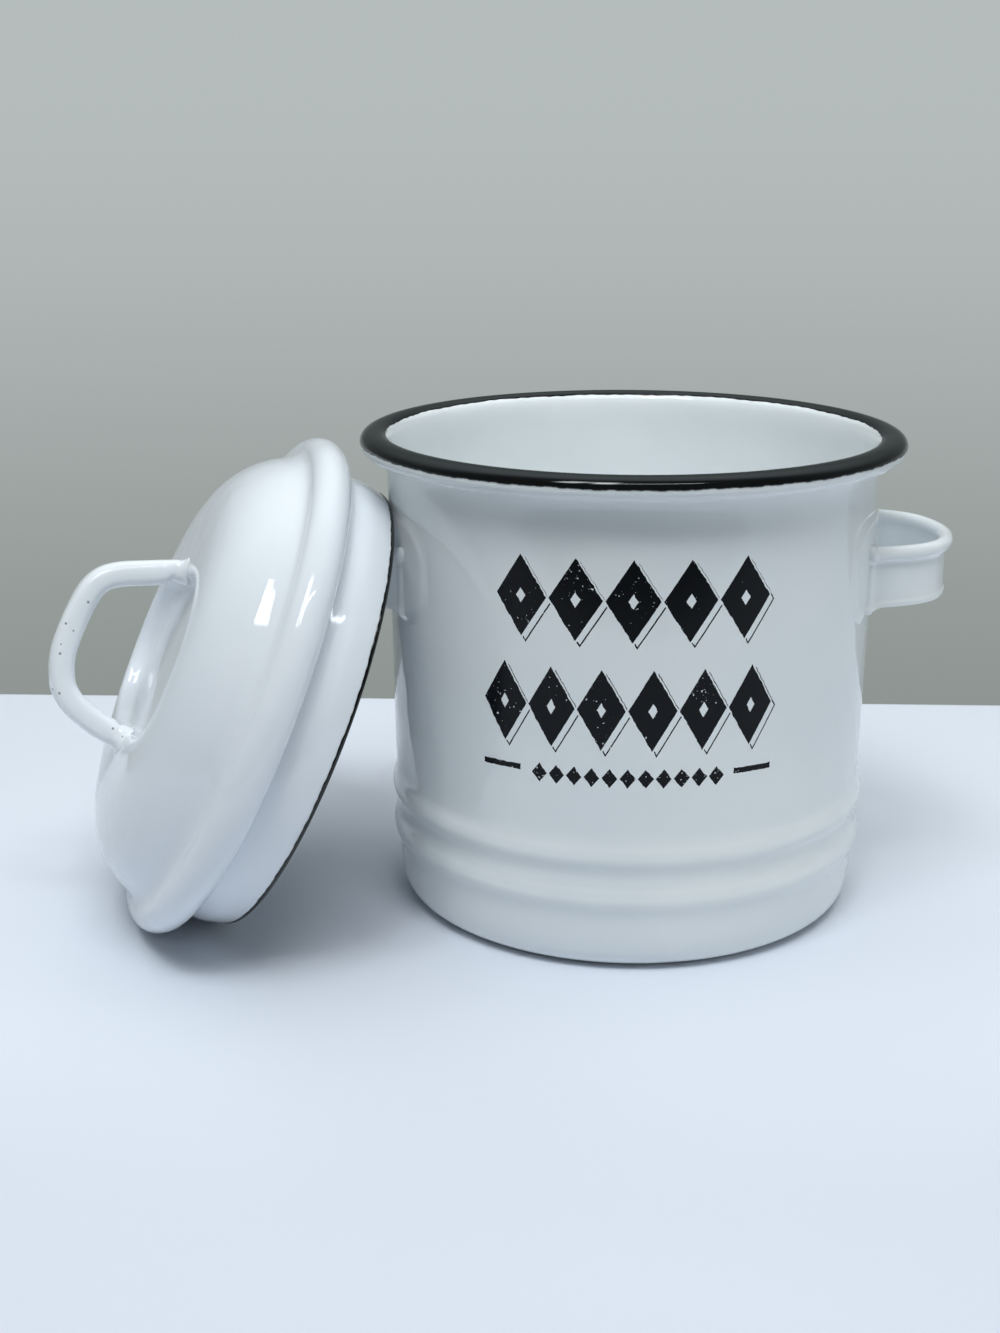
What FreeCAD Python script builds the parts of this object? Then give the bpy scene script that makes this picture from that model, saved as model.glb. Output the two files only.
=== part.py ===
import FreeCAD, Part
import math
import os
import Sketcher

# An enamelled steel grease keeper: a pot with two strap ears and a rolled rim, and its
# domed lid, which leans open against the left of the pot. The origin is the centre of the
# pot's flat base, +Z is up and +X points to the right ear. Lengths are millimetres,
# angles are degrees.

V = FreeCAD.Vector

SIZES = [
    # alias, value, what it is
    ("pot_height", 129.3, "table to the top of the rolled rim"),
    ("sheet_gauge", 1.2, "steel sheet with its enamel"),
    ("base_radius", 57.5, "flat of the base"),
    ("base_corner", 5.1, "radius between base and wall"),
    ("ankle_radius", 63.4, "wall just under the lower ring"),
    ("waist_radius", 64.0, "wall between and above the rings"),
    ("mouth_radius", 65.3, "wall where the rim begins"),
    ("lower_ring_height", 19.6, "middle of the lower raised ring"),
    ("upper_ring_height", 31.5, "middle of the upper raised ring"),
    ("ring_half", 4.4, "half the height of a raised ring"),
    ("ring_rise", 0.9, "how far a ring stands out"),
    ("flare_radius", 5.0, "bend from the wall into the rim"),
    ("rim_flat", 0.45, "level stretch on top of the rim"),
    ("roll_radius", 2.65, "outside of the rolled edge, in steel"),
    ("roll_tail", 2.4, "how far the rolled sheet runs back under"),
    ("band_gauge", 0.3, "black enamel over the rolled edge"),
    ("band_inner_angle", 45.0, "where the black begins inside the mouth"),
    ("band_outer_angle", 40.0, "how far the black goes under the roll"),
    ("ear_drop", 27.8, "top of the rim down to the top edge of an ear"),
    ("ear_tall", 15.5, "height of an ear's strap"),
    ("ear_half_width", 23.1, "middle of the strap's side to the ear's middle"),
    ("ear_stand", 20.0, "middle of the strap's front out from the pot's wall"),
    ("ear_corner", 10.0, "bend between the strap's side and front"),
    ("ear_front_radius", 30.0, "gentle curve of the strap's front"),
    ("ear_gauge", 1.2, "strap sheet"),
    ("ear_curl", 1.4, "radius of the strap's rolled top edge"),
    ("plate_margin", 2.0, "how far a plate shows below its ear"),
    ("plate_tall", 25.5, "height of an ear's plate"),
    ("plate_width", 79.0, "width of a plate along the wall"),
    ("plate_corner", 8.5, "round of a plate's corners"),
    ("plate_gauge", 1.0, "plate sheet"),
    ("lid_play", 3.1, "cut edge of the lid's skirt in from the inside of the mouth"),
    ("edge_band_tall", 1.0, "black enamel on the cut edge"),
    ("skirt_tall", 12.2, "cut edge to the neck under the bead"),
    ("skirt_bow", 1.5, "how far the skirt bows out"),
    ("bead_overhang", 4.1, "outside of the lid's bead out from the pot's wall"),
    ("bead_height", 18.9, "middle of the bead above the cut edge"),
    ("bead_tube", 5.3, "round of the bead"),
    ("bead_neck_angle", 55.0, "how far the bead turns in towards the neck"),
    ("bead_notch_angle", 70.0, "how far the bead turns in towards the dome"),
    ("crown_height", 41.8, "flat of the crown above the cut edge"),
    ("dome_radius", 26.0, "bend from the notch to the crown"),
    ("recess_length", 81.0, "finger recess, across the handle"),
    ("recess_depth", 5.2, "finger recess, crown to floor"),
    ("recess_draft", 12.0, "slope of the recess's wall"),
    ("recess_floor_round", 2.0, "bend from the recess's wall to its floor"),
    ("handle_foot", 26.0, "middle of a handle foot to the lid's axis"),
    ("handle_rise", 21.6, "crown to the middle of the loop's top"),
    ("handle_shoulder", 18.0, "half the loop's top between its unrounded corners"),
    ("handle_lean", 2.9, "how far the loop's top sits off the lid's axis"),
    ("handle_tilt", 2.5, "how far one end of the top stands above its middle"),
    ("handle_bend", 13.0, "round of the loop's corners"),
    ("handle_thick", 6.0, "bar, in the loop's plane"),
    ("handle_wide", 8.5, "bar, across the loop's plane"),
    ("lean_turn", 12.61, "how far the leaning lid faces round from -X"),
    ("lean_roll", 14.0, "how far the lid is turned about its own axis"),
    ("lean_shift", 6.4, "how far the leaning lid sits off the pot's axis"),
    ("lean_gap", 0.3, "cut edge of the lid to the pot's wall"),
    ("lean_clear", 0.95, "rolled edge of the ear to the inside of the leaning lid"),
]

TOUCH = 1e-4  # closer than this counts as the same place
LEAST_CUT = 1.0  # mm3: a cut that takes less has missed

doc = FreeCAD.newDocument("grease_keeper")
sheet = doc.addObject("Spreadsheet::Sheet", "Sizes")
for row, (alias, value, meaning) in enumerate(SIZES, start=1):
    sheet.set(f"A{row}", meaning)
    sheet.set(f"B{row}", str(value))
    sheet.setAlias(f"B{row}", alias)
doc.recompute()


def measure(formula):
    """The number that a formula on the sheet's names gives now."""
    return float(sheet.evalExpression(formula))


def named(formula):
    """The same formula, written for an object that looks its names up in the sheet."""
    for alias, _value, _meaning in sorted(SIZES, key=lambda size: -len(size[0])):
        formula = formula.replace(alias, "<<Sizes>>." + alias.upper())
    for alias, _value, _meaning in SIZES:
        formula = formula.replace(alias.upper(), alias)
    return formula


def new_body(label):
    body = doc.addObject("PartDesign::Body", label)
    body.Label = label
    return body


def new_sketch(body, name, plane):
    """An empty sketch on one of the body's own planes: XY_Plane, XZ_Plane or YZ_Plane."""
    sketch = body.newObject("Sketcher::SketchObject", name)
    support = next(item for item in body.Origin.OriginFeatures if item.Role == plane)
    sketch.AttachmentSupport = [(support, "")]
    sketch.MapMode = "FlatFace"
    return sketch


def pin_point(sketch, element, end, across, up):
    """Ties one point of the sketch to its two formulas."""
    for direction, axis, formula in (("DistanceX", -2, across), ("DistanceY", -1, up)):
        value = measure(formula)
        if abs(value) < TOUCH:
            sketch.addConstraint(Sketcher.Constraint("PointOnObject", element, end, axis))
        elif value > 0:
            index = sketch.addConstraint(
                Sketcher.Constraint(direction, -1, 1, element, end, value))
            sketch.setExpression(f"Constraints[{index}]", named(formula))
        else:
            index = sketch.addConstraint(
                Sketcher.Constraint(direction, element, end, -1, 1, -value))
            sketch.setExpression(f"Constraints[{index}]", named(f"-({formula})"))


def bent_edge(start, end, radius):
    """An arc from start to end, as the sketcher keeps it, and its ends in that order.
    A positive radius turns left on the way from start to end, a negative one right."""
    chord = end - start
    left = V(-chord.y, chord.x, 0).normalize()
    rise = math.sqrt(max(radius * radius - chord.Length ** 2 / 4, 0))
    centre = (start + end) / 2 + left * math.copysign(rise, radius)
    first, last = (start, end) if radius > 0 else (end, start)
    turn_first = math.atan2(first.y - centre.y, first.x - centre.x)
    turn_last = math.atan2(last.y - centre.y, last.x - centre.x)
    circle = Part.Circle(centre, V(0, 0, 1), abs(radius))
    return Part.ArcOfCircle(circle, turn_first, turn_last), (1, 2) if radius > 0 else (2, 1)


def draw_outline(sketch, corners, closed=True):
    """Draws corners of (across, up, bend). The bend, where there is one, is the radius of
    the arc that leaves the corner: plus turns left, minus turns right."""
    places = [V(measure(across), measure(up), 0) for across, up, _bend in corners]
    count = len(corners) if closed else len(corners) - 1
    ends = []
    for index in range(count):
        start, end = places[index], places[(index + 1) % len(corners)]
        bend = corners[index][2]
        if bend is None:
            element = sketch.addGeometry(Part.LineSegment(start, end), False)
            order = (1, 2)
        else:
            arc, order = bent_edge(start, end, measure(bend))
            element = sketch.addGeometry(arc, False)
        ends.append((element, order))
    for index in range(1, count):
        before, after = ends[index - 1], ends[index]
        sketch.addConstraint(Sketcher.Constraint(
            "Coincident", before[0], before[1][1], after[0], after[1][0]))
    if closed:
        sketch.addConstraint(Sketcher.Constraint(
            "Coincident", ends[-1][0], ends[-1][1][1], ends[0][0], ends[0][1][0]))
    for index in range(count):
        element, order = ends[index]
        pin_point(sketch, element, order[0], corners[index][0], corners[index][1])
        if corners[index][2] is not None:
            radius = corners[index][2].lstrip("+-")
            place = sketch.addConstraint(
                Sketcher.Constraint("Radius", element, abs(measure(radius))))
            sketch.setExpression(f"Constraints[{place}]", named(radius))
    if not closed:
        element, order = ends[-1]
        pin_point(sketch, element, order[1], corners[-1][0], corners[-1][1])


def outline(body, name, plane, corners, closed=True):
    sketch = new_sketch(body, name, plane)
    draw_outline(sketch, corners, closed)
    return sketch


def turned(body, name, sketch, kind="PartDesign::Revolution"):
    """The sketch turned once round the body's vertical axis."""
    feature = body.newObject(kind, name)
    feature.Profile = (sketch, [""])
    feature.ReferenceAxis = (sketch, ["V_Axis"])
    feature.Angle = 360
    doc.recompute()
    return feature


def hollowed(body, name, solid, height, gauge):
    """The solid made into sheet of the given gauge, open at its level face at that height."""
    open_face = next(
        f"Face{index}" for index, face in enumerate(solid.Shape.Faces, start=1)
        if face.Surface.TypeId == "Part::GeomPlane"
        and abs(face.BoundBox.ZMin - height) < TOUCH
        and abs(face.BoundBox.ZMax - height) < TOUCH)
    shell = body.newObject("PartDesign::Thickness", name)
    shell.Base = (solid, [open_face])
    shell.setExpression("Value", named(gauge))
    shell.Mode = "Skin"
    shell.Join = "Arc"
    shell.Reversed = True
    doc.recompute()
    return shell


# ---- where the pot's wall is ----

WALL_TOP = "(pot_height - band_gauge - flare_radius)"
WAIST_TOP = "(upper_ring_height + ring_half)"


def wall_at(height):
    """Outer radius of the plain wall at a height."""
    return (f"(waist_radius + (mouth_radius - waist_radius)"
            f" * ({height} - {WAIST_TOP}) / ({WALL_TOP} - {WAIST_TOP}))")


# ---- the rim: a flare, a level stretch and a roll, one after the other ----

FLARE_MIDDLE = "(mouth_radius - sheet_gauge + flare_radius)"
ROLL_MIDDLE = f"({FLARE_MIDDLE} + rim_flat)"
STEEL_TOP = "(pot_height - band_gauge)"
ROLL_HEIGHT = f"({STEEL_TOP} - roll_radius)"


def make_pot_shell():
    """Pot of one sheet: base, corner, two raised rings, wall and the edge rolled outwards."""
    body = new_body("pot_shell")
    ring_bend = "(ring_half^2 + ring_rise^2) / (2 * ring_rise)"
    profile = outline(body, "pot_outside", "XZ_Plane", [
        ("0", "0", None),
        ("base_radius", "0", "base_corner"),
        ("base_radius + base_corner", "base_corner", None),
        ("ankle_radius", "lower_ring_height - ring_half", ring_bend),
        ("waist_radius", "lower_ring_height + ring_half", None),
        ("waist_radius", "upper_ring_height - ring_half", ring_bend),
        ("waist_radius", WAIST_TOP, None),
        ("mouth_radius", WALL_TOP, None),
        ("0", WALL_TOP, None),
    ])
    solid = turned(body, "pot_form", profile)
    hollowed(body, "pot_sheet", solid, measure(WALL_TOP), "sheet_gauge")
    rolled = outline(body, "rim_section", "XZ_Plane", [
        ("mouth_radius - sheet_gauge", WALL_TOP, "-flare_radius"),
        (FLARE_MIDDLE, STEEL_TOP, None),
        (ROLL_MIDDLE, STEEL_TOP, "-roll_radius"),
        (f"{ROLL_MIDDLE} + roll_radius", ROLL_HEIGHT, "-roll_radius"),
        (ROLL_MIDDLE, f"{ROLL_HEIGHT} - roll_radius", None),
        (f"{ROLL_MIDDLE} - roll_tail", f"{ROLL_HEIGHT} - roll_radius", None),
        (f"{ROLL_MIDDLE} - roll_tail", f"{ROLL_HEIGHT} - roll_radius + sheet_gauge", None),
        (ROLL_MIDDLE, f"{ROLL_HEIGHT} - roll_radius + sheet_gauge",
         "+(roll_radius - sheet_gauge)"),
        (f"{ROLL_MIDDLE} + roll_radius - sheet_gauge", ROLL_HEIGHT,
         "+(roll_radius - sheet_gauge)"),
        (ROLL_MIDDLE, f"{STEEL_TOP} - sheet_gauge", None),
        (FLARE_MIDDLE, f"{STEEL_TOP} - sheet_gauge", "+(flare_radius - sheet_gauge)"),
        ("mouth_radius", WALL_TOP, None),
    ])
    turned(body, "rolled_rim", rolled)
    return body


def make_rim_band():
    """Black enamel over the rim, from inside the mouth to under the roll."""
    body = new_body("rim_band")
    flare_in = "cos(band_inner_angle)"
    flare_up = "sin(band_inner_angle)"
    roll_out = "cos(band_outer_angle)"
    roll_down = "sin(band_outer_angle)"
    outer_flare = "(flare_radius + band_gauge)"
    outer_roll = "(roll_radius + band_gauge)"
    section = outline(body, "band_section", "XZ_Plane", [
        (f"{FLARE_MIDDLE} - flare_radius * {flare_in}",
         f"{WALL_TOP} + flare_radius * {flare_up}", "-flare_radius"),
        (FLARE_MIDDLE, STEEL_TOP, None),
        (ROLL_MIDDLE, STEEL_TOP, "-roll_radius"),
        (f"{ROLL_MIDDLE} + roll_radius", ROLL_HEIGHT, "-roll_radius"),
        (f"{ROLL_MIDDLE} + roll_radius * {roll_out}",
         f"{ROLL_HEIGHT} - roll_radius * {roll_down}", None),
        (f"{ROLL_MIDDLE} + {outer_roll} * {roll_out}",
         f"{ROLL_HEIGHT} - {outer_roll} * {roll_down}", f"+{outer_roll}"),
        (f"{ROLL_MIDDLE} + {outer_roll}", ROLL_HEIGHT, f"+{outer_roll}"),
        (ROLL_MIDDLE, "pot_height", None),
        (FLARE_MIDDLE, "pot_height", f"+{outer_flare}"),
        (f"{FLARE_MIDDLE} - {outer_flare} * {flare_in}",
         f"{WALL_TOP} + {outer_flare} * {flare_up}", None),
    ])
    turned(body, "band_ring", section)
    return body


# ---- the ears ----

EAR_TOP = "(pot_height - ear_drop)"
EAR_LOW = f"({EAR_TOP} - ear_tall)"
PLATE_LOW = f"({EAR_LOW} - plate_margin)"
PLATE_TOP = f"({PLATE_LOW} + plate_tall)"
EAR_REACH = "(mouth_radius + ear_stand)"


def wall_slice(body, name, low, high, inner, outer):
    """A sketch of the space between two radii, each a formula of the height."""
    return outline(body, name, "XZ_Plane", [
        (inner(low), low, None),
        (outer(low), low, None),
        (outer(high), high, None),
        (inner(high), high, None),
    ])


def on_axis(_height):
    return "0"


def plate_face(height):
    """Outer radius of an ear's plate at a height."""
    return f"({wall_at(height)} + plate_gauge)"


def past_ear(_height):
    return f"(2 * {EAR_REACH})"


def make_ear_plate(label, turn):
    """Curved patch plate against the wall, with rounded corners, turned to its side: a
    rounded blank as seen from the side, less what lies inside and outside the sheet."""
    body = new_body(label)
    half = "(mouth_radius * sin(plate_width / mouth_radius * 90 / pi))"
    blank = outline(body, f"{label}_blank", "YZ_Plane", [
        (f"-{half} + plate_corner", PLATE_LOW, None),
        (f"{half} - plate_corner", PLATE_LOW, "+plate_corner"),
        (half, f"{PLATE_LOW} + plate_corner", None),
        (half, f"{PLATE_TOP} - plate_corner", "+plate_corner"),
        (f"{half} - plate_corner", PLATE_TOP, None),
        (f"-{half} + plate_corner", PLATE_TOP, "+plate_corner"),
        (f"-{half}", f"{PLATE_TOP} - plate_corner", None),
        (f"-{half}", f"{PLATE_LOW} + plate_corner", "+plate_corner"),
    ])
    pad = body.newObject("PartDesign::Pad", f"{label}_blank_out")
    pad.Profile = (blank, [""])
    pad.Type = "Length"
    pad.setExpression("Length", named(EAR_REACH))
    doc.recompute()
    below = f"({PLATE_LOW} - plate_gauge)"
    above = f"({PLATE_TOP} + plate_gauge)"
    inside = wall_slice(body, f"{label}_inside", below, above, on_axis, wall_at)
    turned(body, f"{label}_back", inside, "PartDesign::Groove")
    outside = wall_slice(body, f"{label}_outside", below, above, plate_face, past_ear)
    plate = turned(body, f"{label}_front", outside, "PartDesign::Groove")
    if plate.Shape.Volume > pad.Shape.Volume - LEAST_CUT:
        raise ValueError(f"{label}: not cut to the wall")
    body.Placement.Rotation = FreeCAD.Rotation(V(0, 0, 1), turn)
    doc.recompute()
    return body


def make_ear_loop(label, turn):
    """D-shaped strap with its top edge rolled outwards, its ends cut to the plate's curve."""
    body = new_body(label)
    corner_run = ("sqrt((ear_front_radius - ear_corner)^2"
                  " - (ear_half_width - ear_corner)^2)")
    front_middle = f"({EAR_REACH} - ear_front_radius)"
    corner_share = "ear_front_radius / (ear_front_radius - ear_corner)"
    side_end = f"{front_middle} + {corner_run}"
    join_out = f"{front_middle} + {corner_run} * {corner_share}"
    join_side = f"(ear_half_width - ear_corner) * {corner_share}"
    start = "ear_front_radius"
    path = outline(body, f"{label}_path", "XY_Plane", [
        (start, "ear_half_width", None),
        (side_end, "ear_half_width", "-ear_corner"),
        (join_out, join_side, "-ear_front_radius"),
        (join_out, f"-({join_side})", "-ear_corner"),
        (side_end, "-ear_half_width", None),
        (start, "-ear_half_width", None),
    ], closed=False)
    path.setExpression("AttachmentOffset.Base.z", named(EAR_LOW))
    inner = "(ear_half_width - ear_gauge / 2)"
    outer = "(ear_half_width + ear_gauge / 2)"
    curl_middle = f"({inner} + ear_curl)"
    curl_height = f"({EAR_TOP} - ear_curl)"
    crease = f"{curl_height} - sqrt(ear_curl^2 - (ear_gauge - ear_curl)^2)"
    section = outline(body, f"{label}_section", "YZ_Plane", [
        (inner, EAR_LOW, None),
        (outer, EAR_LOW, None),
        (outer, crease, "+ear_curl"),
        (f"{curl_middle} + ear_curl", curl_height, "+ear_curl"),
        (curl_middle, EAR_TOP, "+ear_curl"),
        (inner, curl_height, None),
    ])
    section.setExpression("AttachmentOffset.Base.z", named(start))
    doc.recompute()
    strap = body.newObject("PartDesign::AdditivePipe", f"{label}_strap")
    strap.Profile = (section, [""])
    strap.Spine = (path, [f"Edge{index}" for index in range(1, 6)])
    doc.recompute()
    full = strap.Shape.Volume
    below = f"({EAR_LOW} - ear_gauge)"
    above = f"({EAR_TOP} + ear_gauge)"
    seat = wall_slice(body, f"{label}_seat", below, above, on_axis, plate_face)
    cut = turned(body, f"{label}_trim", seat, "PartDesign::Groove")
    if cut.Shape.Volume > full - LEAST_CUT:
        raise ValueError(f"{label}: its ends were not cut to the plate")
    body.Placement.Rotation = FreeCAD.Rotation(V(0, 0, 1), turn)
    return body


# ---- the lid, in its own frame: cut edge in the XY plane, axis up, handle along Y ----

LID_EDGE = "(mouth_radius - sheet_gauge - lid_play)"
BEAD_REACH = "(mouth_radius + bead_overhang)"
BEAD_MIDDLE = f"({BEAD_REACH} - bead_tube)"
NOTCH_RADIUS = f"({BEAD_MIDDLE} - bead_tube * cos(bead_notch_angle))"
NOTCH_HEIGHT = "(bead_height + bead_tube * sin(bead_notch_angle))"
CROWN_RADIUS = (f"({NOTCH_RADIUS} - sqrt(dome_radius^2"
                f" - ({NOTCH_HEIGHT} - crown_height + dome_radius)^2))")
RECESS_HALF = "(handle_foot - handle_thick / 2)"

# The leaning lid stands on its bead, and its cut edge rests against the pot's wall so far
# above the left ear that the ear's rolled edge stays inside the lid's mouth. The angle is
# how far the mouth leans from upright.
EAR_SPREAD = ("(mouth_radius * tan(lean_turn) - lean_shift + lean_clear"
              " + (ear_half_width - ear_gauge / 2 + 2 * ear_curl) / cos(lean_turn))")
LEAN_RUN = f"({BEAD_MIDDLE} + sqrt(({LID_EDGE} - sheet_gauge)^2 - {EAR_SPREAD}^2))"
LEAN_RISE = f"({EAR_TOP} - ear_curl - bead_tube)"
LEAN_ANGLE = (f"((acos({LEAN_RISE} / sqrt({LEAN_RUN}^2 + bead_height^2))"
              f" - atan(bead_height / {LEAN_RUN})) / 1 deg)")
LEAN_HEIGHT = (f"({BEAD_MIDDLE} * cos({LEAN_ANGLE}) + bead_tube"
               f" - bead_height * sin({LEAN_ANGLE}))")
TOUCH_HEIGHT = f"({LEAN_HEIGHT} + {LID_EDGE} * cos({LEAN_ANGLE}))"
LEAN_REACH = (f"({wall_at(TOUCH_HEIGHT)} + lean_gap"
              f" + {LID_EDGE} * sin({LEAN_ANGLE}))")
LEAN_PLACE = (
    f"placement(vector(-{LEAN_REACH} * cos(lean_turn) - lean_shift * sin(lean_turn);"
    f" -{LEAN_REACH} * sin(lean_turn) + lean_shift * cos(lean_turn); {LEAN_HEIGHT});"
    f" rotation(vector(0;0;1); lean_turn - 90)"
    f" * rotation(vector(1;0;0); 90 - {LEAN_ANGLE})"
    f" * rotation(vector(0;0;1); lean_roll))")


def lean(body):
    """Moves a piece of the lid from its own frame to where the open lid leans."""
    body.setExpression("Placement", named(LEAN_PLACE))


def pressed_oval(body, name, kind, margin, top, depth):
    """An oval with drafted walls, from the height of its top down: a pad or a pocket."""
    half = f"({RECESS_HALF} + {margin})"
    end_run = f"(recess_length / 2 - {RECESS_HALF})"
    oval = outline(body, f"{name}_outline", "XY_Plane", [
        (f"-{end_run}", f"-{half}", None),
        (end_run, f"-{half}", f"+{half}"),
        (f"{end_run} + {half}", "0", f"+{half}"),
        (end_run, half, None),
        (f"-{end_run}", half, f"+{half}"),
        (f"-{end_run} - {half}", "0", f"+{half}"),
    ])
    oval.setExpression("AttachmentOffset.Base.z", named(top))
    doc.recompute()
    feature = body.newObject(kind, name)
    feature.Profile = (oval, [""])
    feature.Type = "Length"
    feature.Reversed = kind == "PartDesign::Pad"
    feature.setExpression("Length", named(depth))
    feature.setExpression("TaperAngle", named("-recess_draft"))
    doc.recompute()
    return feature


def make_lid_shell():
    """Lid of one sheet: skirt, neck, bead, notch and dome, with an oval finger recess."""
    body = new_body("lid_shell")
    skirt_run = "(skirt_tall - edge_band_tall)"
    profile = outline(body, "lid_outside", "XZ_Plane", [
        ("0", "edge_band_tall", None),
        (LID_EDGE, "edge_band_tall",
         f"(({skirt_run} / 2)^2 + skirt_bow^2) / (2 * skirt_bow)"),
        (LID_EDGE, "skirt_tall", None),
        (f"{BEAD_MIDDLE} - bead_tube * cos(bead_neck_angle)",
         "bead_height - bead_tube * sin(bead_neck_angle)", "bead_tube"),
        (BEAD_REACH, "bead_height", "bead_tube"),
        (NOTCH_RADIUS, NOTCH_HEIGHT, "dome_radius"),
        (CROWN_RADIUS, "crown_height", None),
        ("0", "crown_height", None),
    ])
    solid = turned(body, "lid_form", profile)
    dome = hollowed(body, "lid_sheet", solid, measure("edge_band_tall"), "sheet_gauge")
    tub = pressed_oval(body, "recess_tub", "PartDesign::Pad", "sheet_gauge",
                       "crown_height - sheet_gauge / 2", "recess_depth + sheet_gauge / 2")
    if tub.Shape.Volume < dome.Shape.Volume + LEAST_CUT:
        raise ValueError("lid_shell: the recess has no tub")
    recess = pressed_oval(body, "recess", "PartDesign::Pocket", "0",
                          "crown_height", "recess_depth")
    floor_height = measure("crown_height - recess_depth")
    floor_edges = [
        f"Edge{index}" for index, edge in enumerate(recess.Shape.Edges, start=1)
        if abs(edge.BoundBox.ZMin - floor_height) < TOUCH
        and abs(edge.BoundBox.ZMax - floor_height) < TOUCH]
    floor = body.newObject("PartDesign::Fillet", "recess_floor")
    floor.Base = (recess, floor_edges)
    floor.setExpression("Radius", named("recess_floor_round"))
    doc.recompute()
    if floor.Shape.Volume > tub.Shape.Volume - LEAST_CUT:
        raise ValueError("lid_shell: the recess cuts nothing")
    lean(body)
    return body


def make_lid_edge_band():
    """Black enamel on the skirt's cut edge."""
    body = new_body("lid_edge_band")
    section = outline(body, "edge_section", "XZ_Plane", [
        (f"{LID_EDGE} - sheet_gauge", "0", None),
        (LID_EDGE, "0", None),
        (LID_EDGE, "edge_band_tall", None),
        (f"{LID_EDGE} - sheet_gauge", "edge_band_tall", None),
    ])
    turned(body, "edge_ring", section)
    lean(body)
    return body


def tangent_points(before, corner, after, radius):
    """Where an arc of that radius leaves and meets the two runs of a corner."""
    back = (before - corner).normalize()
    onward = (after - corner).normalize()
    length = radius / math.tan(back.getAngle(onward) / 2)
    return corner + back * length, corner + onward * length


def draw_handle_path(sketch):
    """Two legs and a top, rounded where they meet. The legs run on below the crown."""
    feet = [("handle_foot", "crown_height"), ("-handle_foot", "crown_height")]
    top = "crown_height + handle_rise"
    shoulders = [("handle_shoulder - handle_lean", f"{top} - handle_tilt"),
                 ("-handle_shoulder - handle_lean", f"{top} + handle_tilt")]
    foot_a, foot_b = [V(measure(x), measure(y), 0) for x, y in feet]
    turn_a, turn_b = [V(measure(x), measure(y), 0) for x, y in shoulders]
    bend = measure("handle_bend")
    a_in, a_out = tangent_points(foot_a, turn_a, turn_b, bend)
    b_in, b_out = tangent_points(turn_a, turn_b, foot_b, bend)
    sunk_height = measure("crown_height - handle_wide")
    sunk = []
    for foot, turn in ((foot_a, turn_a), (foot_b, turn_b)):
        share = (foot.y - sunk_height) / (turn.y - foot.y)
        sunk.append(foot + (foot - turn) * share)
    leg_a = sketch.addGeometry(Part.LineSegment(sunk[0], a_in), False)
    arc_a, _order = bent_edge(a_in, a_out, bend)
    round_a = sketch.addGeometry(arc_a, False)
    level = sketch.addGeometry(Part.LineSegment(a_out, b_in), False)
    arc_b, _order = bent_edge(b_in, b_out, bend)
    round_b = sketch.addGeometry(arc_b, False)
    leg_b = sketch.addGeometry(Part.LineSegment(b_out, sunk[1]), False)
    chain = [leg_a, round_a, level, round_b, leg_b]
    for first, second in zip(chain, chain[1:]):
        sketch.addConstraint(Sketcher.Constraint("Tangent", first, 2, second, 1))
    for arc in (round_a, round_b):
        place = sketch.addConstraint(Sketcher.Constraint("Radius", arc, bend))
        sketch.setExpression(f"Constraints[{place}]", named("handle_bend"))
    guides = [(feet[0], foot_a, (leg_a,)), (feet[1], foot_b, (leg_b,)),
              (shoulders[0], turn_a, (leg_a, level)), (shoulders[1], turn_b, (level, leg_b))]
    for (across, up), place, lines in guides:
        guide = sketch.addGeometry(Part.Point(place), True)
        for line in lines:
            sketch.addConstraint(Sketcher.Constraint("PointOnObject", guide, 1, line))
        pin_point(sketch, guide, 1, across, up)
    for leg, end in ((leg_a, 1), (leg_b, 2)):
        place = sketch.addConstraint(
            Sketcher.Constraint("DistanceY", -1, 1, leg, end, sunk_height))
        sketch.setExpression(f"Constraints[{place}]", named("crown_height - handle_wide"))


def make_lid_handle():
    """Bent bar handle: a rounded bar swept along its loop, cut level on the crown."""
    body = new_body("lid_handle")
    path = new_sketch(body, "handle_path", "YZ_Plane")
    draw_handle_path(path)
    flat_half = "(handle_wide / 2 - handle_thick / 2)"
    half = "(handle_thick / 2)"
    bar = outline(body, "bar_section", "XY_Plane", [
        (f"-{flat_half}", f"-{half}", None),
        (flat_half, f"-{half}", f"+{half}"),
        (f"{flat_half} + {half}", "0", f"+{half}"),
        (flat_half, half, None),
        (f"-{flat_half}", half, f"+{half}"),
        (f"-{flat_half} - {half}", "0", f"+{half}"),
    ])
    slope = ("((handle_foot - handle_shoulder + handle_lean)"
             " / (handle_rise - handle_tilt))")
    bar.setExpression("AttachmentOffset", named(
        f"placement(vector(0; handle_foot + handle_wide * {slope};"
        f" crown_height - handle_wide); rotation(vector(1;0;0); atan({slope})))"))
    doc.recompute()
    loop = body.newObject("PartDesign::AdditivePipe", "handle_loop")
    loop.Profile = (bar, [""])
    loop.Spine = (path, [f"Edge{index}" for index in range(1, 6)])
    doc.recompute()
    full = loop.Shape.Volume
    reach = "(handle_foot + handle_wide * 2)"
    ground = outline(body, "foot_plane", "XY_Plane", [
        (f"-{reach}", f"-{reach}", None),
        (reach, f"-{reach}", None),
        (reach, reach, None),
        (f"-{reach}", reach, None),
    ])
    ground.setExpression("AttachmentOffset.Base.z", named("crown_height"))
    doc.recompute()
    cut = body.newObject("PartDesign::Pocket", "foot_cut")
    cut.Profile = (ground, [""])
    cut.Type = "Length"
    cut.setExpression("Length", named("handle_wide * 2"))
    doc.recompute()
    if cut.Shape.Volume > full - LEAST_CUT:
        raise ValueError("lid_handle: its feet were not cut level")
    lean(body)
    return body


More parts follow.
